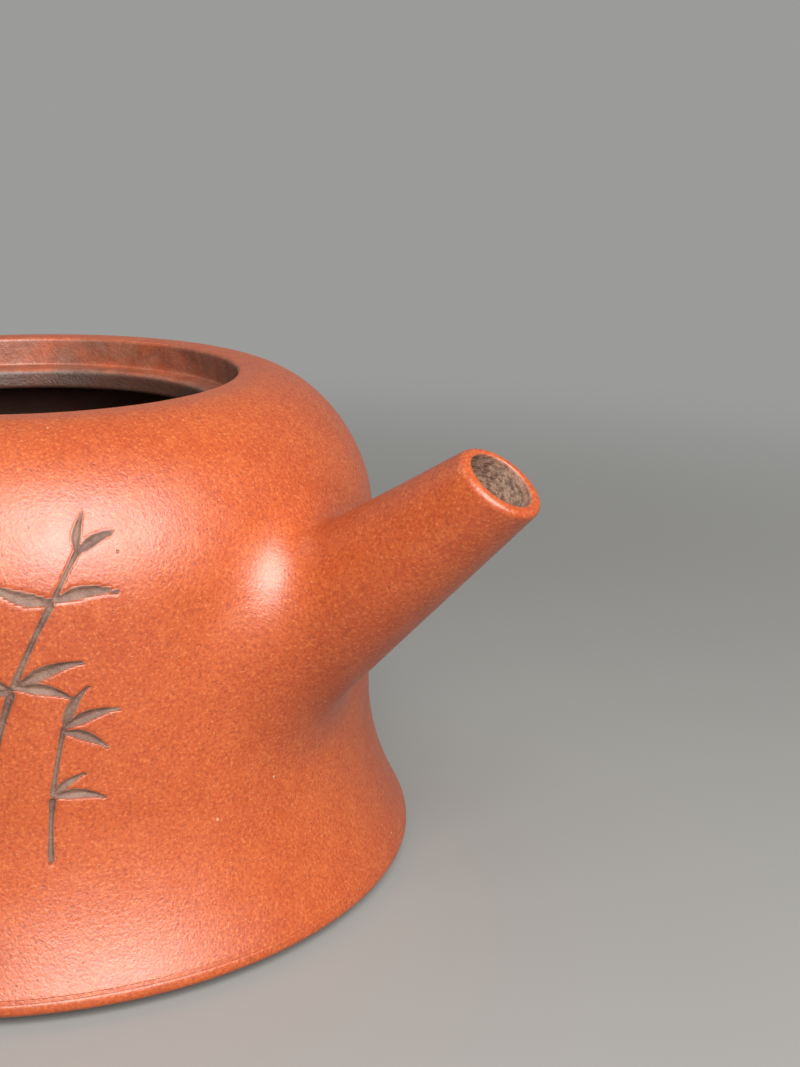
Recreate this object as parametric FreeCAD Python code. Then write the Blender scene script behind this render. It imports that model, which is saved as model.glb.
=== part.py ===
import FreeCAD, Part
import math
import os

# Unglazed clay teapot, slab built: a flared round pot with a straight spout, a loop
# handle and a flat inset lid. Millimetres, +Z up, the spout along +X. The origin is
# on the pot's axis, on the table.

Vec = FreeCAD.Vector

# Foot and base slab
foot_height = 1.4
foot_outer_radius = 48.0
foot_width = 6.0
foot_round = 0.5
base_radius = 55.0
base_thickness = 2.4
base_step = 0.35

# Wall and shoulder, measured on the outside
clay_wall = 3.0
flare_lean = 0.4
flare_start = 1.0
flare_rise = 11.0
waist_radius = 49.2
waist_height = 24.0
wall_swell = 8.25
shoulder_radius = 49.6
shoulder_height = 49.2
shoulder_rise = 10.7
crest_sweep = 7.7

# Mouth with its recess for the lid
rim_height = 69.6
crest_radius = 33.2
rim_round = 0.6
seat_radius = 30.5
seat_depth = 4.4
throat_radius = 26.9
ledge_round = 0.9
throat_length = 3.1
collar_width = 2.6

# Straight tapered spout
spout_tip_reach = 76.8
spout_tip_height = 64.3
spout_slope = 38.7
spout_face_slope = 53.0
spout_tip_radius = 5.5
spout_taper = 0.132
spout_bore_radius = 4.0
spout_bore_taper = 0.105
spout_side_flare = 5.0
spout_end_flare = 1.6
spout_flare_length = 9.0
lip_round = 0.6
lip_round_ratio = 0.45
bore_round = 0.35
bore_round_ratio = 0.25
flare_step_ratios = (1.0, 0.75, 0.5, 0.25, 0.0, -0.25)

# Ball strainer over the spout's port
strainer_overlap = 1.6
strainer_wall = 1.6
strainer_hole_radius = 1.1
strainer_rings = ((0.0, 1), (27.0, 6), (54.0, 12))

# Loop handle
handle_centre_reach = 53.0
handle_centre_height = 40.5
handle_half_length = 33.0
handle_half_height = 21.0
handle_rise = 4.0
handle_upper_angle = 112.0
handle_lower_angle = -122.0
handle_upper_radius = 5.2
handle_lower_radius = 4.0
handle_flat_ratio = 0.86
handle_section_count = 13

# Lid, drawn in its seat and then laid beside the pot
lid_clearance = 0.45
lid_seat_gap = 0.1
lid_round = 0.9
lid_crown = 1.8
vent_radius = 1.5
flange_clearance = 0.7
flange_wall = 2.6
flange_depth = 6.5
flange_draft = 0.5
knob_radius = 8.6
knob_rise = 12.2
collar_radius = 6.2
collar_waist = 5.0

# Swing of the lid from the table into its seat
swing_azimuth = -120.0
swing_axis_drop = 4.0

# How near to a plane an edge counts as lying in it
plane_tolerance = 0.001

# Heights and radii that follow from the sizes above
floor_height = foot_height + base_thickness
wall_foot_radius = base_radius - base_step
ledge_height = rim_height - seat_depth
throat_bottom = ledge_height - throat_length
slope = math.radians(spout_slope)
face_slope = math.radians(spout_face_slope)
spout_axis = Vec(math.cos(slope), 0, math.sin(slope))
spout_face = Vec(math.cos(face_slope), 0, math.sin(face_slope))
spout_tip = Vec(spout_tip_reach, 0, spout_tip_height)
lid_radius = seat_radius - lid_clearance
lid_bottom = ledge_height + lid_seat_gap
knob_centre = Vec(0, 0, rim_height + knob_rise)


def line(a, b):
    """Straight edge between two (radius, height) points of the half-section."""
    return Part.makeLine(Vec(a[0], 0, a[1]), Vec(b[0], 0, b[1]))


def lines(*points):
    """Straight edges from point to point."""
    return [line(a, b) for a, b in zip(points, points[1:])]


def bezier(*poles):
    """Smooth edge drawn by its (radius, height) poles."""
    curve = Part.BezierCurve()
    curve.setPoles([Vec(r, 0, z) for r, z in poles])
    return curve.toShape()


def quarter(start, centre, end):
    """Quarter round from start to end about centre."""
    radius = math.hypot(start[0] - centre[0], start[1] - centre[1])
    out_r = start[0] + end[0] - 2 * centre[0]
    out_z = start[1] + end[1] - 2 * centre[1]
    reach = radius / math.hypot(out_r, out_z)
    middle = Vec(centre[0] + out_r * reach, 0, centre[1] + out_z * reach)
    return Part.Arc(Vec(start[0], 0, start[1]), middle, Vec(end[0], 0, end[1])).toShape()


def turned(edges):
    """Solid of revolution of a closed half-section about the pot's axis."""
    face = Part.Face(Part.Wire(Part.__sortEdges__(edges)))
    return face.revolve(Vec(0, 0, 0), Vec(0, 0, 1), 360)


def flare_curve(inset):
    """Flared lower wall, from the base slab up to the waist."""
    foot = wall_foot_radius - inset
    waist = waist_radius - inset
    return bezier((foot, floor_height), (foot - flare_lean, floor_height + flare_start),
                  (waist, waist_height - flare_rise), (waist, waist_height))


def upright_curve(inset):
    """Nearly upright wall, from the waist up to the shoulder."""
    waist = waist_radius - inset
    top = shoulder_radius - inset
    return bezier((waist, waist_height), (waist, waist_height + wall_swell),
                  (top, shoulder_height - wall_swell), (top, shoulder_height))


def shoulder_curve(inset):
    """Rounded shoulder, from the wall's top in to the crest round the mouth."""
    start = shoulder_radius - inset
    crest = rim_height - inset
    return bezier((start, shoulder_height), (start, shoulder_height + shoulder_rise),
                  (crest_radius + crest_sweep, crest), (crest_radius, crest))


def pot_space(inset):
    """Solid inside the wall's surface, set in by the given thickness."""
    foot = wall_foot_radius - inset
    crest = rim_height - inset
    return turned(lines((0, crest), (0, floor_height), (foot, floor_height))
                  + [flare_curve(inset), upright_curve(inset), shoulder_curve(inset)]
                  + lines((crest_radius, crest), (0, crest)))


def spout_height(reach):
    """Height of the spout's axis at a distance from the pot's axis."""
    return spout_tip_height - (spout_tip_reach - reach) * math.tan(slope)


def spout_bore():
    """Tapered bore along the spout's axis, from inside the pot to past the tip."""
    past_tip = 2 * spout_tip_radius
    inside = (spout_tip_reach - shoulder_radius + 2 * clay_wall) / math.cos(slope)
    start = spout_tip - spout_axis * inside
    wide = spout_bore_radius + spout_bore_taper * inside
    narrow = spout_bore_radius - spout_bore_taper * past_tip
    return Part.makeCone(wide, narrow, inside + past_tip, start, spout_axis)


def foot_ring():
    """Low ring that the pot stands on, rounded at its two lower edges."""
    inner = foot_outer_radius - foot_width
    return turned(lines((foot_outer_radius, foot_round), (foot_outer_radius, foot_height),
                        (inner, foot_height), (inner, foot_round))
                  + [quarter((inner, foot_round), (inner + foot_round, foot_round),
                             (inner + foot_round, 0))]
                  + lines((inner + foot_round, 0), (foot_outer_radius - foot_round, 0))
                  + [quarter((foot_outer_radius - foot_round, 0),
                             (foot_outer_radius - foot_round, foot_round),
                             (foot_outer_radius, foot_round))])


def base_slab():
    """Round floor slab with a full-round edge band."""
    edge = base_thickness / 2
    middle = foot_height + edge
    band = base_radius - edge
    return turned(lines((band, floor_height), (0, floor_height), (0, foot_height),
                        (band, foot_height))
                  + [quarter((band, foot_height), (band, middle), (base_radius, middle)),
                     quarter((base_radius, middle), (band, middle), (band, floor_height))])


def body_wall():
    """Flared wall strip, with the port that leads into the spout."""
    foot = wall_foot_radius
    top = shoulder_radius
    ring = turned([flare_curve(0), upright_curve(0), upright_curve(clay_wall),
                   flare_curve(clay_wall)]
                  + lines((top, shoulder_height), (top - clay_wall, shoulder_height))
                  + lines((foot - clay_wall, floor_height), (foot, floor_height)))
    return ring.cut(spout_bore())


def shoulder():
    """Rounded top slab between the wall and the mouth."""
    top = shoulder_radius
    ring = turned([shoulder_curve(0), shoulder_curve(clay_wall)]
                  + lines((crest_radius, rim_height), (crest_radius, rim_height - clay_wall))
                  + lines((top - clay_wall, shoulder_height), (top, shoulder_height)))
    return ring.cut(spout_bore())


def mouth_ring():
    """Ring round the mouth: rounded rim, recess wall, ledge for the lid and throat."""
    rim = seat_radius + rim_round
    nose = throat_radius + ledge_round
    return turned(lines((crest_radius, rim_height), (rim, rim_height))
                  + [quarter((rim, rim_height), (rim, rim_height - rim_round),
                             (seat_radius, rim_height - rim_round))]
                  + lines((seat_radius, rim_height - rim_round), (seat_radius, ledge_height),
                          (nose, ledge_height))
                  + [quarter((nose, ledge_height), (nose, ledge_height - ledge_round),
                             (throat_radius, ledge_height - ledge_round))]
                  + lines((throat_radius, ledge_height - ledge_round),
                          (throat_radius, throat_bottom),
                          (throat_radius + collar_width, throat_bottom),
                          (crest_radius, rim_height - clay_wall), (crest_radius, rim_height)))


def spout_section(reach, flare):
    """Upright oval section of the spout, with a share of the root's flare added."""
    along = (spout_tip_reach - reach) / math.cos(slope)
    radius = spout_tip_radius + spout_taper * along
    half_width = radius + flare * spout_side_flare
    half_height = radius / math.cos(slope) + flare * spout_end_flare
    grow = FreeCAD.Matrix()
    grow.scale(1, half_width, half_height)
    grow.move(Vec(reach, 0, spout_height(reach)))
    circle = Part.makeCircle(1, Vec(0, 0, 0), Vec(1, 0, 0))
    return Part.Wire(circle.transformGeometry(grow))


def spout():
    """Straight tapered spout with a flared root, a slanted rounded lip and its bore."""
    root = shoulder_radius
    straight = [spout_section(spout_tip_reach + 2 * spout_tip_radius, 0)]
    straight.append(spout_section(root + spout_flare_length, 0))
    flared = []
    for share in flare_step_ratios:
        flared.append(spout_section(root + share * spout_flare_length, (1 - share) ** 2))
    solid = Part.makeLoft(straight, True).fuse(Part.makeLoft(flared, True))
    past_lip = spout_tip_reach - shoulder_radius
    beyond = Part.makeCylinder(past_lip, past_lip, spout_tip, spout_face)
    solid = solid.cut(beyond).cut(pot_space(0)).cut(spout_bore()).Solids[0]
    lip_wall = spout_tip_radius - spout_bore_radius
    outer_round = min(lip_round, lip_round_ratio * lip_wall)
    solid = solid.makeFillet(outer_round, [max(tip_edges(solid), key=edge_length)])
    inner_round = min(bore_round, bore_round_ratio * lip_wall)
    return solid.makeFillet(inner_round, [min(tip_edges(solid), key=edge_length)])


def edge_length(edge):
    """Length of an edge, to tell the lip's outer edge from the bore's."""
    return edge.Length


def tip_edges(solid):
    """Edges that lie in the plane of the spout's mouth."""
    found = []
    for edge in solid.Edges:
        offsets = [abs((point - spout_tip).dot(spout_face)) for point in edge.discretize(8)]
        if max(offsets) < plane_tolerance:
            found.append(edge)
    return found


def strainer():
    """Domed strainer inside the wall, pierced by rings of round holes."""
    reach = shoulder_radius - clay_wall
    centre = Vec(reach, 0, spout_height(reach))
    inside = (spout_tip_reach - reach) / math.cos(slope)
    port = (spout_bore_radius + spout_bore_taper * inside) / math.cos(slope)
    inner = port + strainer_overlap - strainer_wall / 2
    outer = inner + strainer_wall
    dome = Part.makeSphere(outer, centre).cut(Part.makeSphere(inner, centre))
    dome = dome.common(pot_space(clay_wall))
    for tilt, count in strainer_rings:
        lean = math.radians(tilt)
        for index in range(count):
            turn = 2 * math.pi * index / count
            way = Vec(-math.cos(lean), math.sin(lean) * math.cos(turn),
                      math.sin(lean) * math.sin(turn))
            dome = dome.cut(Part.makeCylinder(strainer_hole_radius, 2 * outer, centre, way))
    return max(dome.Solids, key=lambda solid: solid.Volume)


def handle_point(angle):
    """Point on the handle's centre line, on a raised ellipse behind the pot."""
    turn = math.radians(angle)
    reach = handle_centre_reach + handle_half_length * math.cos(turn)
    height = handle_centre_height + handle_half_height * math.sin(turn)
    return Vec(-reach, 0, height + handle_rise * math.cos(turn))


def handle():
    """Tapered loop handle, cut to the outside of the wall."""
    sections = []
    for index in range(handle_section_count):
        share = index / (handle_section_count - 1)
        angle = handle_upper_angle + share * (handle_lower_angle - handle_upper_angle)
        along = (handle_point(angle - 1) - handle_point(angle + 1)).normalize()
        wide = handle_upper_radius + share * (handle_lower_radius - handle_upper_radius)
        centre = handle_point(angle)
        across = along.cross(Vec(0, 1, 0)) * (handle_flat_ratio * wide)
        oval = Part.Ellipse(centre + Vec(0, wide, 0), centre + across, centre)
        sections.append(Part.Wire(oval.toShape()))
    loop = Part.makeLoft(sections, True).cut(pot_space(0))
    return max(loop.Solids, key=lambda solid: solid.Volume)


def lid_disc():
    """Flat lid with rounded edges, a low crown and a vent at its centre."""
    edge = lid_radius - lid_round
    return turned(lines((vent_radius, rim_height + lid_crown), (vent_radius, lid_bottom),
                        (edge, lid_bottom))
                  + [quarter((edge, lid_bottom), (edge, lid_bottom + lid_round),
                             (lid_radius, lid_bottom + lid_round))]
                  + lines((lid_radius, lid_bottom + lid_round),
                          (lid_radius, rim_height - lid_round))
                  + [quarter((lid_radius, rim_height - lid_round),
                             (edge, rim_height - lid_round), (edge, rim_height)),
                     bezier((edge, rim_height), (lid_radius / 2, rim_height + lid_crown),
                            (vent_radius, rim_height + lid_crown))])


def lid_flange():
    """Drafted ring under the lid that hangs in the throat, with a full-round end."""
    outer = throat_radius - flange_clearance
    inner = outer - flange_wall
    foot = outer - flange_draft
    end = (foot - inner) / 2
    bottom = lid_bottom - flange_depth
    middle = (inner + foot) / 2
    return turned(lines((inner, bottom + end), (inner, lid_bottom), (outer, lid_bottom),
                        (foot, bottom + end))
                  + [quarter((foot, bottom + end), (middle, bottom + end), (middle, bottom)),
                     quarter((middle, bottom), (middle, bottom + end), (inner, bottom + end))])


def knob_ball():
    """Whole ball of the knob, before its vent."""
    return Part.makeSphere(knob_radius, knob_centre)


def knob_collar():
    """Waisted collar between the lid and the knob."""
    low = rim_height
    high = knob_centre.z - knob_radius / 2
    raw = turned(lines((vent_radius, high), (vent_radius, low), (collar_radius, low))
                 + [bezier((collar_radius, low), (collar_waist, (low + high) / 2),
                           (collar_radius, high))]
                 + lines((collar_radius, high), (vent_radius, high)))
    return raw.cut(knob_ball()).cut(lid_disc())


def knob():
    """Round bead knob with the vent through it."""
    vent = Part.makeCylinder(vent_radius, 2 * knob_radius, knob_centre - Vec(0, 0, knob_radius))
    return knob_ball().cut(vent)


def swing():
    """Pivot, axis and angle that carry the lid from the table into its seat.

    On the table the lid lies upside down on its knob and its rim, and that sets its
    tilt. The pivot is level with the seat, less a small drop.
    """
    rim_reach = lid_radius - lid_round
    rim_level = rim_height - lid_round
    rise = knob_centre.z - rim_level
    tilt = math.atan2(rise, rim_reach)
    tilt += math.asin((knob_radius - lid_round) / math.hypot(rim_reach, rise))
    pivot_level = rim_level - swing_axis_drop
    above = knob_centre.z - pivot_level
    reach = (pivot_level - knob_radius - above * math.cos(tilt)) / math.sin(tilt)
    azimuth = math.radians(swing_azimuth)
    pivot = Vec(reach * math.cos(azimuth), reach * math.sin(azimuth), pivot_level)
    axis = Vec(math.sin(azimuth), -math.cos(azimuth), 0)
    return pivot, axis, 180 + math.degrees(tilt)


def laid_down(shape):
    """Lid piece moved from its seat to its place on the table."""
    pivot, axis, angle = swing()
    return shape.rotated(pivot, axis, -angle)


os.makedirs("parts", exist_ok=True)

pot_pieces = (foot_ring, base_slab, body_wall, shoulder, mouth_ring, spout, strainer, handle)
lid_pieces = (lid_disc, lid_flange, knob_collar, knob)

for piece in pot_pieces:
    piece().exportStep("parts/" + piece.__name__ + ".step")
for piece in lid_pieces:
    laid_down(piece()).exportStep("parts/" + piece.__name__ + ".step")

print("lid swing pivot, axis, angle:", *swing())
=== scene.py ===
import math

import bpy
import numpy as np
from mathutils import Matrix, Vector


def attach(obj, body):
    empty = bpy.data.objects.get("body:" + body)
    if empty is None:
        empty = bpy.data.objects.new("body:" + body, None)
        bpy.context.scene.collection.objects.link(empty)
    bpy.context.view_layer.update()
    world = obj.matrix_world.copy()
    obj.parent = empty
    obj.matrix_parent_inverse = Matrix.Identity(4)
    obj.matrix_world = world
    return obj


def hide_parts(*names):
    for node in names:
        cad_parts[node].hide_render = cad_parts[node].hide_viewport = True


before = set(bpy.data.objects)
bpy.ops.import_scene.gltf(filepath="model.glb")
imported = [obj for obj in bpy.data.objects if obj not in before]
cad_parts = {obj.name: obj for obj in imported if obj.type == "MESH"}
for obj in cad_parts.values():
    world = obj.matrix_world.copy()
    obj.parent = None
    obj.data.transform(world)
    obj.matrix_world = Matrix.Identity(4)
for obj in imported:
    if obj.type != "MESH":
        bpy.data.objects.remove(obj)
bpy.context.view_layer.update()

MM = 0.001

# Pot sizes in millimetres, as in the solids
FLOOR = 3.8
FOOT_TOP = 1.4
BASE_RADIUS = 55.0
WALL_FOOT = 54.65
CLAY_WALL = 3.0
WAIST = (49.2, 24.0)
SHOULDER = (49.6, 49.2)
CREST = (33.2, 69.6)
RIM_ROUND = 0.6
SEAT_RADIUS = 30.5
SEAT_CORNER = 0.35
LEDGE = 65.2
LEDGE_ROUND = 0.9
THROAT_RADIUS = 26.9
THROAT_ROUND = 0.6
THROAT_BOTTOM = 62.1
COLLAR_WIDTH = 2.6

# How far the curves of wall and shoulder keep the direction of their ends
FLARE_LEAN = (0.4, 1.0)
FLARE_HOLD = 11.0
UPRIGHT_HOLD = 8.25
SHOULDER_HOLD = 10.7
CREST_HOLD = 7.7

# Edge of the base, as insets from its widest ring and rises from the foot's top.
# Its neck carries the wall's foot on down, and a tongue hides in the wall's thickness.
BAND_UNDER = ((1.3, 0.0), (0.5, 0.0), (0.0, 0.45), (0.0, 1.0))
BAND_OVER = ((0.0, 1.0), (0.0, 1.35), (0.07, 1.72), (0.2, 1.85))
SCRIBED_LINE = ((0.2, 1.85), (0.34, 1.90), (0.18, 1.96))
NECK_START = (0.19, 2.0)
NECK_INSET = 0.345
TONGUE_INSETS = (0.40, 2.0, 2.5)
TONGUE_RISE = 0.1
BASE_GAP = 0.004
AXIS_GAP = 0.05

# Roots of spout and handle: ease of their round, and how deep its end is sunk in the wall
ROOT_EASE = 0.62
SKIN_SINK = 0.01

# Spout, in the plane y = 0. A hem is the length and depth of a skin tucked under the wall.
SPOUT_TIP = np.array((76.46, 0.0, 64.02))
SPOUT_SLOPE = math.radians(38.7)
SPOUT_FACE_SLOPE = math.radians(53.0)
SPOUT_RADIUS = 5.5
SPOUT_TAPER = 0.132
BORE_RADIUS = 4.15
BORE_TAPER = 0.105
BORE_LIFT = 0.25
BLEND_SIDE = 11.0
BLEND_TOP = 5.0
BLEND_BOTTOM = 6.5
BLEND_SHAPE = 1.5
SPOUT_HEM = (1.2, 0.12)
SPOUT_REACH = 60.0
LIP_ROUND = 0.95
LIP_EASE = 0.6
LIP_SHARES = (0.25, 0.75)
BORE_ROUND = 0.45
BORE_EASE = 0.3
CRUST_END = 0.25
PORT_HEIGHT = 41.0
PORT_HALF = (8.6, 10.8)

# Handle, on a raised oval behind the pot
HANDLE_CENTRE = (53.0, 40.5)
HANDLE_HALF = (33.0, 21.0)
HANDLE_RISE = 4.0
HANDLE_ENDS = (112.0, -122.0)
HANDLE_RADII = (5.2, 4.0)
HANDLE_FLAT = 0.86
HANDLE_BLEND = 3.4
HANDLE_HEM = (0.8, 0.1)
HANDLE_OVERRUN = 14.0
HANDLE_TAPER_OVERRUN = 0.1

# Incised sprig on the front of the wall
CARVE_BEARING = math.radians(-46.0)
CARVE_HALF = 12.5
CARVE_STEP = 0.2
CARVE_DEPTH = 0.5
CARVE_SHAPE = 0.75
CARVE_MARGIN = 2.0
CANE_WIDTHS = np.array((1.25, 0.9, 0.85, 0.9, 1.2))
CANE_BEND = 0.02
LEAF_WIDTHS = np.array((0.12, 0.62, 1.0, 0.92, 0.66, 0.36, 0.10))
LEAF_POLES = (0.33, 0.66)
LEAF_BEND = 0.12

# Camera of the photograph, in the pot's frame
CAMERA_DISTANCE = 227.6
CAMERA_HEIGHT = 108.6
CAMERA_AZIMUTH = math.radians(-45.6)
CAMERA_YAW = math.radians(13.61)
CAMERA_PITCH = math.radians(15.64)
CAMERA_ROLL = math.radians(0.69)
CAMERA_LENS = 54.05
CAMERA_SENSOR = 36
CAMERA_CLIP = 0.01

# Mesh counts
TURNS = 200
OUTER_ROWS = (40, 120, 84)
INNER_ROWS = (10, 30, 21)
ROW_STEP = 4
SPOUT_COLUMNS = 120
SPOUT_ROWS = 44
SPOUT_BLEND_ROWS = 26
LIP_ROWS = 8
BORE_LIP_ROWS = 6
BORE_ROWS = 40
HALVINGS = 40
STROKE_POINTS = 70
CRUST_ROWS = 38
CRUST_FADE = 5
HANDLE_COLUMNS = 56
HANDLE_STEPS = 260
HANDLE_ROWS = 90
HANDLE_BLEND_ROWS = 14

# Clay colours
CLAY_DEEP = (0.435, 0.060, 0.007, 1)
CLAY_BRIGHT = (0.503, 0.080, 0.010, 1)
CLAY_MOTTLE = (0.585, 0.124, 0.026, 1)
SAND_DARK = (0.285, 0.038, 0.006, 1)
SAND_LIGHT = (0.675, 0.188, 0.046, 1)
GRAIN_PALE = (0.645, 0.300, 0.120, 1)
GRAIN_DARK = (0.090, 0.022, 0.009, 1)
SPECK = (0.690, 0.413, 0.240, 1)
# Painted shade: near-black tint laid into the pits
PAINTED_PIT_SHADE = (0.083, 0.026, 0.012, 1)
TEA = ((0.112, 0.045, 0.026, 1), (0.225, 0.112, 0.074, 1))
# Tea stain deepened nearly black as painted shade, deep inside the pot
TEA_DEEP_AND_SHADE = (0.038, 0.014, 0.008, 1)
# Painted shade laid into the carved strokes of the sprig
PAINTED_GROOVE_SHADE = ((0.086, 0.046, 0.030, 1), (0.203, 0.124, 0.086, 1))
ASHES = ((0.195, 0.109, 0.074, 1), (0.585, 0.375, 0.270, 1))
STRAINER_STAIN = 0.8

# Clay finish
GLOSS = (0.36, 0.44)
STAIN_ROUGH = 0.10
CRUST_ROUGH = 0.25
CLAY_IOR = 1.62
CLAY_SPECULAR = 0.74
RELIEF_STRENGTH = 0.5
RELIEF_DISTANCE = 0.0002

# Background that the floor passes into, at a distance from the pot in metres
PALE = (0.33, 0.33, 0.322, 1)
FADE = (0.10, 0.42)
FLOOR_SIZE = 8
FLOOR_TONES = ((0.323, 0.321, 0.311, 1), (0.345, 0.344, 0.332, 1))
FLOOR_BOUNCE = (0.06, 0.06, 0.058, 1)
FLOOR_ROUGH = 0.75
FLOOR_SPECULAR = 0.25
FILL = (0.80, 0.80, 0.78, 1)
FILL_STRENGTH = 0.05

# Lamps: metres towards the camera, to its left and up, height aimed at, size, watts
LAMP_COLOUR = (1.0, 0.985, 0.96)
LAMPS = {"front": ((0.30, 0.03, 0.42), 0.04, (0.23, 0.28), 0.4),
         "card": ((0.47, -0.13, 0.36), 0.03, (0.50, 0.44), 6.0),
         "overhead": ((-0.22, 0.30, 0.62), 0.03, (0.40, 0.40), 0.4)}


def bezier(poles, count):
    """Points of a cubic curve with four poles, the last one left out."""
    t = np.linspace(0, 1, count, endpoint=False)[:, None]
    p = np.array(poles, float)
    return ((1 - t) ** 3 * p[0] + 3 * t * (1 - t) ** 2 * p[1]
            + 3 * t ** 2 * (1 - t) * p[2] + t ** 3 * p[3])


def arc(centre, radius, start, end, count):
    """Points of an arc in degrees, the last one left out."""
    t = np.radians(np.linspace(start, end, count, endpoint=False))
    return np.stack([centre[0] + radius * np.cos(t), centre[1] + radius * np.sin(t)], 1)


def run(start, end, count):
    """Points of a straight run, the last one left out."""
    t = np.linspace(0, 1, count, endpoint=False)[:, None]
    return np.array(start) * (1 - t) + np.array(end) * t


def wall_curve(inset, rows):
    """Wall and shoulder from the floor to the crest, set in by a thickness."""
    foot, waist, top = WALL_FOOT - inset, WAIST[0] - inset, SHOULDER[0] - inset
    crest = CREST[1] - inset
    flare = bezier([(foot, FLOOR), (foot - FLARE_LEAN[0], FLOOR + FLARE_LEAN[1]),
                    (waist, WAIST[1] - FLARE_HOLD), (waist, WAIST[1])], rows[0])
    upright = bezier([(waist, WAIST[1]), (waist, WAIST[1] + UPRIGHT_HOLD),
                      (top, SHOULDER[1] - UPRIGHT_HOLD), (top, SHOULDER[1])], rows[1])
    shoulder = bezier([(top, SHOULDER[1]), (top, SHOULDER[1] + SHOULDER_HOLD),
                       (CREST[0] + CREST_HOLD, crest), (CREST[0], crest)], rows[2])
    return np.concatenate([flare, upright, shoulder, [(CREST[0], crest)]])


OUTER = wall_curve(0, OUTER_ROWS)
INNER = wall_curve(CLAY_WALL, INNER_ROWS)


def outer_radius(z):
    """Outside radius of the pot at a height."""
    return np.interp(z, OUTER[:, 1], OUTER[:, 0])


def inner_radius(z):
    """Inside radius of the pot at a height."""
    return np.interp(z, INNER[:, 1], INNER[:, 0])


def new_piece(name, points, faces, body, nodes, material, **layers):
    """Smooth mesh piece in metres that rides a body and stands for CAD nodes."""
    mesh = bpy.data.meshes.new(name)
    mesh.from_pydata([tuple(p) for p in np.asarray(points) * MM], [], faces)
    mesh.update()
    mesh.polygons.foreach_set("use_smooth", [True] * len(mesh.polygons))
    mesh.materials.append(material)
    for title, values in layers.items():
        layer = mesh.attributes.new(title, "FLOAT", "POINT")
        layer.data.foreach_set("value", np.asarray(values, float))
    piece = bpy.data.objects.new(name, mesh)
    bpy.context.scene.collection.objects.link(piece)
    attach(piece, body)
    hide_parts(*nodes)


def grid_faces(rows, columns, close_rows=False, skip=()):
    """Quads of a grid whose columns close into rings, and whose rows may close too."""
    faces = []
    for i in range(rows if close_rows else rows - 1):
        k = (i + 1) % rows
        for j in range(columns):
            if (i, j) in skip:
                continue
            m = (j + 1) % columns
            faces.append((i * columns + j, i * columns + m, k * columns + m, k * columns + j))
    return faces


def even_turns(columns):
    """Bearings evenly round the pot, from the back round to it."""
    return np.linspace(-math.pi, math.pi, columns, endpoint=False)


def lathe(profile, turns):
    """Ring of points for each (radius, height) of a profile."""
    r = profile[:, 0][:, None]
    x, y = r * np.cos(turns), r * np.sin(turns)
    z = np.broadcast_to(profile[:, 1][:, None], x.shape)
    return np.stack([x, y, z], -1).reshape(-1, 3)


def stroke(path, widths):
    """Points and half widths along a smooth knife stroke with four poles."""
    shares = np.linspace(0, 1, STROKE_POINTS)
    return (bezier(path, STROKE_POINTS),
            np.interp(shares, np.linspace(0, 1, len(widths)), widths))


def leaf(base, bearing, length, wide):
    """Long pointed leaf from its base, bearing in degrees up from the horizontal."""
    turn = math.radians(bearing)
    along = np.array((math.cos(turn), math.sin(turn)))
    across = np.array((-along[1], along[0])) * LEAF_BEND * length
    poles = [base, base + LEAF_POLES[0] * length * along + across,
             base + LEAF_POLES[1] * length * along + across, base + length * along]
    return stroke(poles, LEAF_WIDTHS * wide)


def sprig():
    """Incised sprig of bamboo: two jointed canes and their leaves, in millimetres."""
    strokes = []
    # Each cane: lower end, upper end, half width
    canes = [((-7.4, 20.0), (-5.6, 29.0), 0.62), ((-5.3, 30.0), (-2.4, 40.4), 0.58),
             ((-2.0, 41.4), (2.6, 51.0), 0.5), ((3.1, 51.9), (5.9, 56.6), 0.36),
             ((1.2, 19.5), (1.7, 26.6), 0.45), ((1.8, 27.5), (3.4, 35.6), 0.4)]
    for low, high, wide in canes:
        low, high = np.array(low), np.array(high)
        side = CANE_BEND * np.array((high[1] - low[1], low[0] - high[0]))
        path = [low, low + (high - low) / 3 - side, low + (high - low) * 2 / 3 - side, high]
        strokes.append(stroke(path, CANE_WIDTHS * wide))
    # Each leaf: place of its base, bearing, length, half width
    leaves = [(-5.4, 29.6, 152, 8.2, 0.95), (-5.4, 29.6, 196, 6.6, 0.8),
              (-2.2, 40.8, 168, 9.0, 1.05), (-2.2, 40.8, 138, 6.4, 0.8),
              (-1.8, 41.0, 18, 8.6, 1.0), (-1.8, 41.0, -16, 6.8, 0.85),
              (2.9, 51.4, 160, 8.0, 0.95), (3.0, 51.3, 4, 7.4, 0.9),
              (5.9, 56.6, 72, 4.6, 0.7), (5.9, 56.4, 22, 5.6, 0.75),
              (3.4, 35.6, 58, 6.2, 0.8), (3.4, 35.6, 14, 7.0, 0.9),
              (3.3, 35.2, -28, 6.0, 0.75), (1.8, 27.0, -8, 6.4, 0.8),
              (1.8, 27.0, 34, 4.8, 0.65)]
    for u, v, bearing, length, wide in leaves:
        strokes.append(leaf(np.array((u, v)), bearing, length, wide))
    return strokes


def carved(turns, heights):
    """Share of full depth, from 0 to 1, at each bearing and height of the wall."""
    u = (turns - CARVE_BEARING) * WAIST[0]
    near = np.abs(u) < CARVE_HALF
    cut = np.zeros((len(heights), near.sum()))
    grid_u, grid_v = np.meshgrid(u[near], heights)
    for points, widths in sprig():
        low, high = points.min(0) - CARVE_MARGIN, points.max(0) + CARVE_MARGIN
        cols = np.nonzero((grid_u[0] > low[0]) & (grid_u[0] < high[0]))[0]
        rows = np.nonzero((heights > low[1]) & (heights < high[1]))[0]
        box = np.ix_(rows, cols)
        part = cut[box]
        for (pu, pv), wide in zip(points, widths):
            gap = np.hypot(grid_u[box] - pu, grid_v[box] - pv) / wide
            part = np.maximum(part, 1 - gap)
        cut[box] = part
    depth = np.zeros((len(heights), len(turns)))
    depth[:, near] = np.clip(cut, 0, 1)
    return depth


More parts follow.
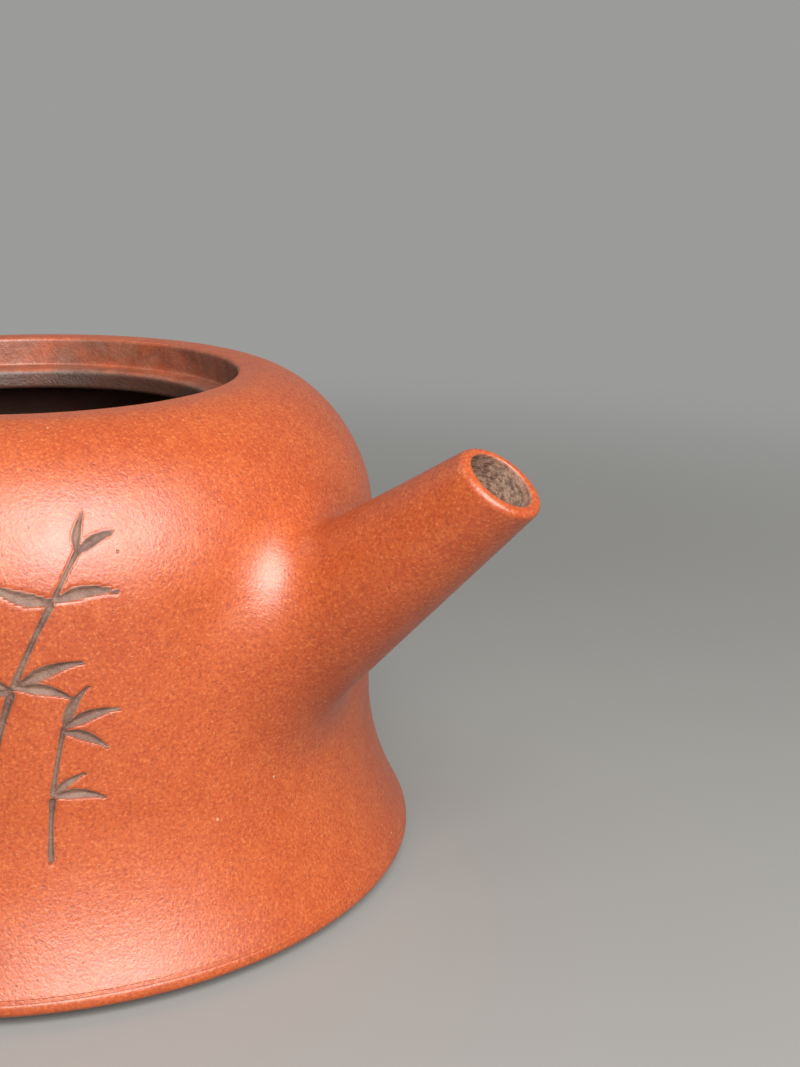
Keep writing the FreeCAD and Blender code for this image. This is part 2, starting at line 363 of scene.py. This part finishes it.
def pot_shell(material):
    """Wall, shoulder and mouth as one clay skin, with the port behind the spout."""
    rim = SEAT_RADIUS + RIM_ROUND
    top = CREST[1]
    corner = SEAT_RADIUS - SEAT_CORNER
    nose = THROAT_RADIUS + LEDGE_ROUND
    heel = THROAT_RADIUS + THROAT_ROUND
    collar = THROAT_RADIUS + COLLAR_WIDTH
    # Each stretch of the mouth, with the tea stain at its two ends; near full, the stain is painted
    # shade as well
    mouth = [
        (run((CREST[0], top), (rim, top), 4)[1:], 0, 0),
        (arc((rim, top - RIM_ROUND), RIM_ROUND, 90, 180, 8), 0, 0.7),
        (run((SEAT_RADIUS, top - RIM_ROUND), (SEAT_RADIUS, LEDGE + SEAT_CORNER), 8), 0.85, 0.85),
        (arc((corner, LEDGE + SEAT_CORNER), SEAT_CORNER, 0, -90, 4), 0.7, 0.7),
        (run((corner, LEDGE), (nose, LEDGE), 6), 0.7, 0.7),
        (arc((nose, LEDGE - LEDGE_ROUND), LEDGE_ROUND, 90, 180, 8), 0.7, 1),
        (run((THROAT_RADIUS, LEDGE - LEDGE_ROUND),
             (THROAT_RADIUS, THROAT_BOTTOM + THROAT_ROUND), 6), 1, 1),
        (arc((heel, THROAT_BOTTOM + THROAT_ROUND), THROAT_ROUND, 180, 270, 5), 1, 1),
        (run((heel, THROAT_BOTTOM), (collar, THROAT_BOTTOM), 3), 1, 1),
        (run((collar, THROAT_BOTTOM), (CREST[0], top - CLAY_WALL), 5), 1, 1)]
    profile = np.concatenate([OUTER] + [part for part, _, _ in mouth] + [INNER[::-1]])
    rows, count = len(profile), len(OUTER)
    turns = even_turns(TURNS)
    half = CARVE_HALF / WAIST[0]
    fine = np.arange(CARVE_BEARING - half, CARVE_BEARING + half, CARVE_STEP / WAIST[0])
    turns = np.sort(np.concatenate([turns[np.abs(turns - CARVE_BEARING) > half], fine]))
    columns = len(turns)
    points = lathe(profile, turns)

    depth = carved(turns, OUTER[:, 1])
    slope = np.gradient(OUTER, axis=0)
    slope /= np.linalg.norm(slope, axis=1)[:, None]
    grid = points.reshape(rows, columns, 3)
    push = CARVE_DEPTH * depth ** CARVE_SHAPE
    grid[:count, :, 0] -= push * slope[:, 1][:, None] * np.cos(turns)
    grid[:count, :, 1] -= push * slope[:, 1][:, None] * np.sin(turns)
    grid[:count, :, 2] += push * slope[:, 0][:, None]
    faces = port_faces(rows, columns, grid[:count])

    # Tea stain along the profile, full inside, where it is also painted shade
    stain = np.concatenate([np.zeros(count)]
                           + [np.linspace(first, last, len(part)) for part, first, last in mouth]
                           + [np.ones(len(INNER))])
    stain = np.repeat(stain, columns)
    carve = np.zeros(rows * columns)
    carve[:count * columns] = depth.reshape(-1)
    used = np.unique(np.concatenate([np.array(face) for face in faces]))
    place = np.zeros(len(points), int)
    place[used] = np.arange(len(used))
    faces = [place[list(face)].tolist() for face in faces]
    new_piece("pot_shell", points[used], faces, "pot", ("body_wall", "shoulder", "mouth_ring"),
              material, stain=stain[used], carve=carve[used])


def port_faces(rows, columns, wall):
    """Faces of the closed pot shell, with the port cut through it and its edge walled."""
    blocks = wall[::ROW_STEP]
    middle = (blocks[:-1] + np.roll(blocks[1:], -1, axis=1)) / 2
    share = (middle[..., 1] / PORT_HALF[0]) ** 2
    share += ((middle[..., 2] - PORT_HEIGHT) / PORT_HALF[1]) ** 2
    hole = set(zip(*(axis.tolist() for axis in np.nonzero((share < 1) & (middle[..., 0] > 0)))))
    skip = {(rows - 2 - k, j) for k, j in hole}
    for k, j in hole:
        skip |= {(ROW_STEP * k + i, j) for i in range(ROW_STEP)}
    faces = grid_faces(rows, columns, True, skip)

    def outside(k, j, i=0):
        return (ROW_STEP * k + i) * columns + j % columns

    def inside(k, j):
        return (rows - 1 - k) * columns + j % columns

    steps = range(ROW_STEP + 1)
    for k, j in hole:
        if (k - 1, j) not in hole:
            faces.append((outside(k, j), outside(k, j + 1), inside(k, j + 1), inside(k, j)))
        if (k + 1, j) not in hole:
            faces.append((outside(k + 1, j + 1), outside(k + 1, j), inside(k + 1, j),
                          inside(k + 1, j + 1)))
        if (k, j - 1) not in hole:
            faces.append([outside(k, j, i) for i in reversed(steps)]
                         + [inside(k, j), inside(k + 1, j)])
        if (k, j + 1) not in hole:
            faces.append([outside(k, j + 1, i) for i in steps]
                         + [inside(k + 1, j + 1), inside(k, j + 1)])
    return faces


def wall_point(point):
    """Nearest point of the pot's outside at the same height and bearing."""
    bearing = math.atan2(point[1], point[0])
    r = outer_radius(point[2])
    return np.array((r * math.cos(bearing), r * math.sin(bearing), point[2]))


def wall_normal(point):
    """Outward normal of the pot's outside."""
    step = 0.2
    slope = (outer_radius(point[2] + step) - outer_radius(point[2] - step)) / (2 * step)
    bearing = math.atan2(point[1], point[0])
    normal = np.array((math.cos(bearing), math.sin(bearing), -slope))
    return normal / np.linalg.norm(normal)


def along_wall(point, away):
    """Unit direction in the pot's surface nearest to a given direction."""
    normal = wall_normal(point)
    flat = away - normal * away.dot(normal)
    return flat / np.linalg.norm(flat)


def spout_skin(material):
    """Spout with a slanted rounded lip, a rough bore and a root smoothed into the wall."""
    axis = np.array((math.cos(SPOUT_SLOPE), 0, math.sin(SPOUT_SLOPE)))
    side = np.array((0.0, 1.0, 0.0))
    up = np.array((-math.sin(SPOUT_SLOPE), 0, math.cos(SPOUT_SLOPE)))
    face = np.array((math.cos(SPOUT_FACE_SLOPE), 0, math.sin(SPOUT_FACE_SLOPE)))
    rings = []
    for j in range(SPOUT_COLUMNS):
        turn = 2 * math.pi * j / SPOUT_COLUMNS
        out = math.cos(turn) * side + math.sin(turn) * up

        def skin(s, radius, taper):
            lift = BORE_LIFT if radius == BORE_RADIUS else 0
            return SPOUT_TIP - s * axis + (radius + taper * s) * out + lift * up

        def lip(radius, taper):
            lean = out.dot(face)
            return radius * lean / (axis.dot(face) - taper * lean)

        def meets(radius, taper, reach):
            low, high = lip(radius, taper), SPOUT_REACH
            for _ in range(HALVINGS):
                s = (low + high) / 2
                p = skin(s, radius, taper)
                if math.hypot(p[0], p[1]) > reach(p[2]):
                    low = s
                else:
                    high = s
            return low

        upper = max(math.sin(turn), 0.0) ** BLEND_SHAPE
        lower = max(-math.sin(turn), 0.0) ** BLEND_SHAPE
        blend = (BLEND_SIDE + (BLEND_TOP - BLEND_SIDE) * upper
                 + (BLEND_BOTTOM - BLEND_SIDE) * lower)
        s_wall = meets(SPOUT_RADIUS, SPOUT_TAPER, outer_radius)
        s_lip = lip(SPOUT_RADIUS, SPOUT_TAPER)
        touch = skin(s_wall, SPOUT_RADIUS, SPOUT_TAPER)
        start = skin(s_wall - blend, SPOUT_RADIUS, SPOUT_TAPER)
        end = wall_point(touch + blend * along_wall(touch, out))
        drift = along_wall(end, end - touch)
        under = wall_point(end + SPOUT_HEM[0] * drift) - SPOUT_HEM[1] * wall_normal(end)
        reach = np.linalg.norm(end - touch)
        curve = bezier([start, start + ROOT_EASE * (touch - start),
                        end - ROOT_EASE * reach * drift, end], SPOUT_BLEND_ROWS)
        ring = [under, end - SKIN_SINK * wall_normal(end)]
        ring += list(curve[::-1][:-1])
        stop = s_lip + LIP_ROUND
        ring += [skin(s, SPOUT_RADIUS, SPOUT_TAPER)
                 for s in np.linspace(s_wall - blend, stop, SPOUT_ROWS)]
        outer_edge = skin(s_lip, SPOUT_RADIUS, SPOUT_TAPER)
        bore_lip = lip(BORE_RADIUS, BORE_TAPER)
        bore_edge = skin(bore_lip, BORE_RADIUS, BORE_TAPER)
        inward = (bore_edge - outer_edge) / np.linalg.norm(bore_edge - outer_edge)
        last = ring[-1]
        ring += list(bezier([last, last + LIP_EASE * (outer_edge - last),
                             outer_edge + LIP_SHARES[0] * LIP_ROUND * inward,
                             outer_edge + LIP_SHARES[1] * LIP_ROUND * inward], LIP_ROWS)[1:])
        inner_start = bore_edge - BORE_ROUND * inward
        inner_end = skin(bore_lip + BORE_ROUND, BORE_RADIUS, BORE_TAPER)
        ring.append(outer_edge + LIP_SHARES[1] * LIP_ROUND * inward)
        ring += list(bezier([inner_start, inner_start + BORE_EASE * inward, bore_edge,
                             inner_end], BORE_LIP_ROWS))
        s_in = meets(BORE_RADIUS, BORE_TAPER, inner_radius)
        ring += [skin(s, BORE_RADIUS, BORE_TAPER)
                 for s in np.linspace(bore_lip + BORE_ROUND, s_in, BORE_ROWS)]
        rings.append(ring)
    rows = len(rings[0])
    points = np.array(rings).transpose(1, 0, 2).reshape(-1, 3)
    lime = np.zeros(rows)
    lime[-CRUST_ROWS - CRUST_FADE:-CRUST_ROWS] = np.linspace(0, 1, CRUST_FADE)
    lime[-CRUST_ROWS:] = np.linspace(1, CRUST_END, CRUST_ROWS)
    # Tea stain rising towards the bore's inner end, where it is also painted shade
    stain = np.zeros(rows)
    stain[-CRUST_ROWS:] = np.linspace(0, 1, CRUST_ROWS)
    new_piece("spout_skin", points, grid_faces(rows, SPOUT_COLUMNS, True), "pot", ("spout",), material,
              stain=np.repeat(stain, SPOUT_COLUMNS), lime=np.repeat(lime, SPOUT_COLUMNS))


def handle_frame(angle):
    """Centre of the handle's line at an angle, and the unit vector across it."""
    turn = math.radians(angle)
    step = 0.01

    def place(t):
        return np.array((-HANDLE_CENTRE[0] - HANDLE_HALF[0] * math.cos(t), 0,
                         HANDLE_CENTRE[1] + HANDLE_HALF[1] * math.sin(t)
                         + HANDLE_RISE * math.cos(t)))

    along = place(turn - step) - place(turn + step)
    along /= np.linalg.norm(along)
    return place(turn), np.cross(along, (0.0, 1.0, 0.0))


def handle_skin(material):
    """Loop handle with both roots smoothed into the wall."""
    columns, steps = HANDLE_COLUMNS, HANDLE_STEPS
    high, low = HANDLE_ENDS
    angles = np.linspace(high + HANDLE_OVERRUN, low - HANDLE_OVERRUN, steps)
    frames = [handle_frame(angle) for angle in angles]
    shares = np.clip((high - angles) / (high - low), -HANDLE_TAPER_OVERRUN, 1 + HANDLE_TAPER_OVERRUN)
    wide = HANDLE_RADII[0] + shares * (HANDLE_RADII[1] - HANDLE_RADII[0])
    rings = []
    for j in range(columns):
        turn = 2 * math.pi * j / columns
        line = np.array([centre + w * (math.cos(turn) * np.array((0, 1.0, 0))
                                       + HANDLE_FLAT * math.sin(turn) * across)
                         for (centre, across), w in zip(frames, wide)])
        clear = np.hypot(line[:, 0], line[:, 1]) > outer_radius(line[:, 2])
        middle = steps // 2
        first = middle - np.argmin(clear[middle::-1]) + 1
        last = middle + np.argmin(clear[middle:]) - 1
        ring = root_blend(line[first:middle + 1][::-1], frames[first][0])[::-1]
        inside = np.linalg.norm(np.diff(line, axis=0), axis=1).cumsum()
        inside = np.concatenate([[0], inside])
        keep = (inside > inside[first] + HANDLE_BLEND) & (inside < inside[last] - HANDLE_BLEND)
        kept = line[keep]
        even = np.linspace(0, len(kept) - 1, HANDLE_ROWS)
        ring += [kept[int(i)] + (kept[min(int(i) + 1, len(kept) - 1)] - kept[int(i)]) * (i % 1)
                 for i in even]
        ring += root_blend(line[middle:last + 1], frames[last][0])
        rings.append(ring)
    rows = len(rings[0])
    points = np.array(rings).transpose(1, 0, 2).reshape(-1, 3)
    faces = grid_faces(rows, columns)
    faces.append(list(range(columns))[::-1])
    faces.append(list(range((rows - 1) * columns, rows * columns)))
    new_piece("handle_skin", points, faces, "pot", ("handle",), material)


def root_blend(line, centre):
    """Rows that carry a line of the handle's skin out onto the wall, in a small round."""
    touch = wall_point(line[-1])
    away = touch - centre
    end = wall_point(touch + HANDLE_BLEND * along_wall(touch, away))
    drift = along_wall(end, end - touch)
    lengths = np.linalg.norm(np.diff(line[::-1], axis=0), axis=1).cumsum()
    start = line[::-1][np.searchsorted(lengths, HANDLE_BLEND) + 1]
    reach = np.linalg.norm(end - touch)
    curve = bezier([start, start + ROOT_EASE * (touch - start), end - ROOT_EASE * reach * drift, end],
                   HANDLE_BLEND_ROWS)
    under = wall_point(end + HANDLE_HEM[0] * drift) - HANDLE_HEM[1] * wall_normal(end)
    return list(curve[1:]) + [end - SKIN_SINK * wall_normal(end), under]


def base_skin(material):
    """Floor slab with a rounded edge band and a fine scribed line over it."""
    low, high, edge = FOOT_TOP, FLOOR - BASE_GAP, BASE_RADIUS

    def at(*poles):
        return [(edge - inset, low + rise) for inset, rise in poles]

    neck, (tip, back, step) = edge - NECK_INSET, (edge - inset for inset in TONGUE_INSETS)
    profile = np.concatenate([
        run((AXIS_GAP, low), at(*BAND_UNDER)[0], 12),
        bezier(at(*BAND_UNDER), 12),
        bezier(at(*BAND_OVER), 10),
        at(*SCRIBED_LINE),
        run(at(NECK_START)[0], (neck, high), 4),
        [(neck, high), (tip, high + TONGUE_RISE), (back, high + TONGUE_RISE)],
        run((step, high), (AXIS_GAP, high), 12)])
    faces = grid_faces(len(profile), TURNS, True)
    # Tea stain on the inside floor, full there, so also painted shade
    inside = (profile[:, 0] < edge - CLAY_WALL) & (profile[:, 1] > high - TONGUE_RISE)
    stain = np.where(inside, 1.0, 0.0)
    new_piece("base_skin", lathe(profile, even_turns(TURNS)), faces, "pot", ("base_slab",),
              material, stain=np.repeat(stain, TURNS))


class Graph:
    """Small helper that adds and joins the nodes of one material."""

    def __init__(self, material):
        material.use_nodes = True
        self.nodes = material.node_tree.nodes
        self.links = material.node_tree.links
        self.shader = self.nodes["Principled BSDF"]
        self.place = self.nodes.new("ShaderNodeTexCoord").outputs["Object"]

    def put(self, socket, value):
        if isinstance(value, bpy.types.NodeSocket):
            self.links.new(value, socket)
        else:
            socket.default_value = value

    def noise(self, scale, detail=2.0, rough=0.5):
        node = self.nodes.new("ShaderNodeTexNoise")
        node.inputs["Scale"].default_value = scale
        node.inputs["Detail"].default_value = detail
        node.inputs["Roughness"].default_value = rough
        self.links.new(self.place, node.inputs["Vector"])
        return node.outputs["Fac"]

    def cells(self, scale, place):
        """Distance from the nearest cell point, and two random numbers of that cell's own."""
        node = self.nodes.new("ShaderNodeTexVoronoi")
        node.inputs["Scale"].default_value = scale
        self.links.new(place, node.inputs["Vector"])
        split = self.nodes.new("ShaderNodeSeparateColor")
        self.links.new(node.outputs["Color"], split.inputs["Color"])
        return node.outputs["Distance"], split.outputs["Red"], split.outputs["Green"]

    def ramp(self, value, low, high, start=0.0, end=1.0):
        node = self.nodes.new("ShaderNodeMapRange")
        node.interpolation_type = "SMOOTHSTEP"
        for name, item in (("Value", value), ("From Min", low), ("From Max", high),
                           ("To Min", start), ("To Max", end)):
            self.put(node.inputs[name], item)
        return node.outputs["Result"]

    def math(self, kind, a, b=0.0):
        node = self.nodes.new("ShaderNodeMath")
        node.operation = kind
        self.put(node.inputs[0], a)
        self.put(node.inputs[1], b)
        return node.outputs[0]

    def mix(self, share, a, b):
        node = self.nodes.new("ShaderNodeMix")
        node.data_type = "RGBA"
        for name, item in (("Factor_Float", share), ("A_Color", a), ("B_Color", b)):
            self.put(next(s for s in node.inputs if s.identifier == name), item)
        return next(s for s in node.outputs if s.identifier == "Result_Color")

    def layer(self, name):
        """Number painted on the points of a mesh, nothing where it has none."""
        node = self.nodes.new("ShaderNodeAttribute")
        node.attribute_name = name
        return node.outputs["Fac"]

    def warp(self, scale, amount):
        """Coordinates pushed about a little, so that grains aren't round."""
        node = self.nodes.new("ShaderNodeTexNoise")
        node.inputs["Scale"].default_value = scale
        self.links.new(self.place, node.inputs["Vector"])
        shift = self.nodes.new("ShaderNodeVectorMath")
        shift.operation = "MULTIPLY_ADD"
        self.links.new(node.outputs["Color"], shift.inputs[0])
        shift.inputs[1].default_value = (amount, amount, amount)
        self.links.new(self.place, shift.inputs[2])
        return shift.outputs[0]

    def grains(self, scale, size, share, place):
        """Mask of scattered grains: size as a part of the cell, share of cells that hold one."""
        distance, chance, width = self.cells(scale, place)
        reach = self.ramp(width, 0.0, 1.0, 0.45 * size, size)
        spot = self.ramp(self.math("DIVIDE", distance, reach), 0.55, 1.0, 1.0, 0.0)
        return self.math("MULTIPLY", spot, self.math("LESS_THAN", chance, share))


def clay_material(name, deep=0.0):
    """Unglazed red clay: mottled colour, pale and dark grains, pits and carved strokes darkened as
    painted shade, fine orange-peel relief.

    Tea stain is at least as strong as deep; near full it darkens into painted shade.
    """
    material = bpy.data.materials.new(name)
    g = Graph(material)
    bent = g.warp(2400, 0.0004)
    broad = g.noise(36, 3, 0.55)
    fine = g.noise(330, 4, 0.6)
    sand = g.noise(2300, 3, 0.7)
    colour = g.mix(g.ramp(broad, 0.32, 0.68), CLAY_DEEP, CLAY_BRIGHT)
    colour = g.mix(g.ramp(fine, 0.35, 0.72, 0.0, 0.40), colour, CLAY_MOTTLE)
    colour = g.mix(g.ramp(sand, 0.50, 0.34, 0.0, 0.70), colour, SAND_DARK)
    colour = g.mix(g.ramp(sand, 0.53, 0.70, 0.0, 0.70), colour, SAND_LIGHT)
    pale = g.grains(2500, 0.33, 0.24, bent)
    dark = g.grains(1150, 0.19, 0.26, bent)
    # Pits are dents of the relief, tinted near black below as painted shade
    shaded_pits = g.grains(125, 0.050, 0.20, bent)
    specks = g.grains(430, 0.12, 0.10, bent)
    for mask, share, tint in ((pale, 0.50, GRAIN_PALE), (specks, 0.70, SPECK),
                              (dark, 0.62, GRAIN_DARK), (shaded_pits, 0.75, PAINTED_PIT_SHADE)):
        colour = g.mix(g.math("MULTIPLY", mask, share), colour, tint)

    inside = g.layer("stain")
    if deep:
        inside = g.math("MAXIMUM", inside, deep)
    blotch = g.noise(95, 5, 0.62)
    cloudy = g.ramp(blotch, 0.30, 0.62, 0.25, 1.0)
    tea = g.mix(g.ramp(fine, 0.3, 0.7), *TEA)
    colour = g.mix(g.math("MULTIPLY", inside, cloudy), colour, tea)
    # Where the stain is near full, inside the pot and bore, painted shade darkens it nearly black
    colour = g.mix(g.ramp(inside, 0.86, 1.0, 0.0, 0.82), colour, TEA_DEEP_AND_SHADE)

    # Painted shade: the carved strokes are darkened by their depth
    cut = g.ramp(g.layer("carve"), 0.02, 0.30)
    groove_shade = g.mix(g.ramp(fine, 0.35, 0.65), *PAINTED_GROOVE_SHADE)
    colour = g.mix(g.math("MULTIPLY", cut, 0.9), colour, groove_shade)

    crust = g.layer("lime")
    ashes = g.mix(g.ramp(g.noise(1300, 4, 0.7), 0.36, 0.62), *ASHES)
    colour = g.mix(g.math("MULTIPLY", crust, g.ramp(blotch, 0.25, 0.5, 0.7, 1.0)), colour, ashes)
    g.put(g.shader.inputs["Base Color"], colour)

    gloss = g.ramp(g.noise(210, 3, 0.6), 0.25, 0.75, *GLOSS)
    gloss = g.math("ADD", gloss, g.math("MULTIPLY", inside, STAIN_ROUGH))
    rough = g.math("MAXIMUM", crust, cut)
    gloss = g.math("ADD", gloss, g.math("MULTIPLY", rough, CRUST_ROUGH))
    g.put(g.shader.inputs["Roughness"], gloss)
    g.shader.inputs["IOR"].default_value = CLAY_IOR
    g.shader.inputs["Specular IOR Level"].default_value = CLAY_SPECULAR

    height = g.math("MULTIPLY", g.noise(780, 2, 0.5), 0.30)
    for layer, share in ((g.noise(2700, 2, 0.5), 0.50), (sand, 0.25),
                         (g.noise(120, 2, 0.5), 0.8), (dark, -0.30), (shaded_pits, -1.1)):
        height = g.math("ADD", height, g.math("MULTIPLY", layer, share))
    coarse = g.math("ADD", g.math("MULTIPLY", inside, 1.2), g.math("MULTIPLY", rough, 3.0))
    height = g.math("ADD", height, g.math("MULTIPLY", g.noise(1100, 5, 0.7), coarse))
    bump = g.nodes.new("ShaderNodeBump")
    bump.inputs["Strength"].default_value = RELIEF_STRENGTH
    bump.inputs["Distance"].default_value = RELIEF_DISTANCE
    g.put(bump.inputs["Height"], height)
    g.put(g.shader.inputs["Normal"], bump.outputs["Normal"])
    return material


def camera():
    """Camera of the photograph."""
    data = bpy.data.cameras.new("camera")
    data.sensor_width = CAMERA_SENSOR
    data.lens = CAMERA_LENS
    data.clip_start = CAMERA_CLIP
    item = bpy.data.objects.new("camera", data)
    bpy.context.scene.collection.objects.link(item)
    bpy.context.scene.camera = item
    out = Vector((math.cos(CAMERA_AZIMUTH), math.sin(CAMERA_AZIMUTH), 0))
    heading = CAMERA_AZIMUTH + math.pi - CAMERA_YAW
    level = math.cos(CAMERA_PITCH)
    forward = Vector((math.cos(heading) * level, math.sin(heading) * level,
                      -math.sin(CAMERA_PITCH)))
    right = forward.cross(Vector((0, 0, 1))).normalized()
    up = right.cross(forward)
    cos, sin = math.cos(CAMERA_ROLL), math.sin(CAMERA_ROLL)
    turned_right = right * cos + up * sin
    turned_up = up * cos - right * sin
    axes = Matrix((turned_right, turned_up, -forward)).transposed().to_4x4()
    place = out * CAMERA_DISTANCE + Vector((0, 0, CAMERA_HEIGHT))
    item.matrix_world = Matrix.Translation(place * MM) @ axes


def area_lamp(name, place, aim, size, power):
    """Soft rectangular lamp that looks at a point, in metres and watts."""
    data = bpy.data.lights.new(name, "AREA")
    data.shape = "RECTANGLE"
    data.size, data.size_y = size
    data.energy = power
    data.color = LAMP_COLOUR
    lamp = bpy.data.objects.new(name, data)
    bpy.context.scene.collection.objects.link(lamp)
    lamp.location = place
    lamp.visible_camera = False
    lamp.rotation_euler = (Vector(aim) - place).to_track_quat("-Z", "Y").to_euler()


def seen(nodes, links):
    """One for rays from the camera and for reflections, nothing for light on the object."""
    path = nodes.new("ShaderNodeLightPath")
    total = path.outputs["Is Camera Ray"]
    for name in ("Is Glossy Ray", "Is Transmission Ray"):
        node = nodes.new("ShaderNodeMath")
        node.operation = "MAXIMUM"
        links.new(total, node.inputs[0])
        links.new(path.outputs[name], node.inputs[1])
        total = node.outputs[0]
    return total


def fade_to(g, colour, start, end):
    """Let the far floor pass into the pale background, at a distance in metres."""
    length = g.nodes.new("ShaderNodeVectorMath")
    length.operation = "LENGTH"
    g.links.new(g.place, length.inputs[0])
    far = g.ramp(length.outputs["Value"], start, end)
    share = g.math("MULTIPLY", far, seen(g.nodes, g.links))
    glow = g.nodes.new("ShaderNodeEmission")
    glow.inputs["Color"].default_value = colour
    blend = g.nodes.new("ShaderNodeMixShader")
    g.links.new(share, blend.inputs[0])
    g.links.new(g.shader.outputs[0], blend.inputs[1])
    g.links.new(glow.outputs[0], blend.inputs[2])
    g.links.new(blend.outputs[0], g.nodes["Material Output"].inputs["Surface"])


def studio():
    """Plain pale floor, a broad soft lamp near the camera and two weak ones above."""
    bpy.ops.mesh.primitive_plane_add(size=FLOOR_SIZE)
    floor = bpy.context.object
    floor.name = "floor"
    material = bpy.data.materials.new("floor")
    g = Graph(material)
    tone = g.mix(g.noise(3, 2, 0.5), *FLOOR_TONES)
    tone = g.mix(seen(g.nodes, g.links), FLOOR_BOUNCE, tone)
    g.put(g.shader.inputs["Base Color"], tone)
    g.shader.inputs["Roughness"].default_value = FLOOR_ROUGH
    g.shader.inputs["Specular IOR Level"].default_value = FLOOR_SPECULAR
    fade_to(g, PALE, *FADE)
    floor.data.materials.append(material)

    left = Vector((math.sin(CAMERA_AZIMUTH), -math.cos(CAMERA_AZIMUTH), 0))
    near = Vector((math.cos(CAMERA_AZIMUTH), math.sin(CAMERA_AZIMUTH), 0))
    rise = Vector((0, 0, 1))
    for name, ((ahead, aside, above), aim, size, power) in LAMPS.items():
        place = near * ahead + left * aside + rise * above
        area_lamp(name, place, (0, 0, aim), size, power)

    world = bpy.data.worlds.new("world")
    bpy.context.scene.world = world
    world.use_nodes = True
    nodes, links = world.node_tree.nodes, world.node_tree.links
    dim = nodes["Background"]
    dim.inputs["Color"].default_value = FILL
    dim.inputs["Strength"].default_value = FILL_STRENGTH
    pale = nodes.new("ShaderNodeBackground")
    pale.inputs["Color"].default_value = PALE
    blend = nodes.new("ShaderNodeMixShader")
    links.new(seen(nodes, links), blend.inputs[0])
    links.new(dim.outputs[0], blend.inputs[1])
    links.new(pale.outputs[0], blend.inputs[2])
    links.new(blend.outputs[0], nodes["World Output"].inputs["Surface"])


camera()
clay = clay_material("clay")
inner_clay = clay_material("inner_clay", STRAINER_STAIN)
for name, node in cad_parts.items():
    node.data.materials.clear()
    node.data.materials.append(inner_clay if name == "strainer" else clay)
pot_shell(clay)
spout_skin(clay)
base_skin(clay)
handle_skin(clay)
studio()

bpy.context.scene.view_settings.view_transform = "Standard"
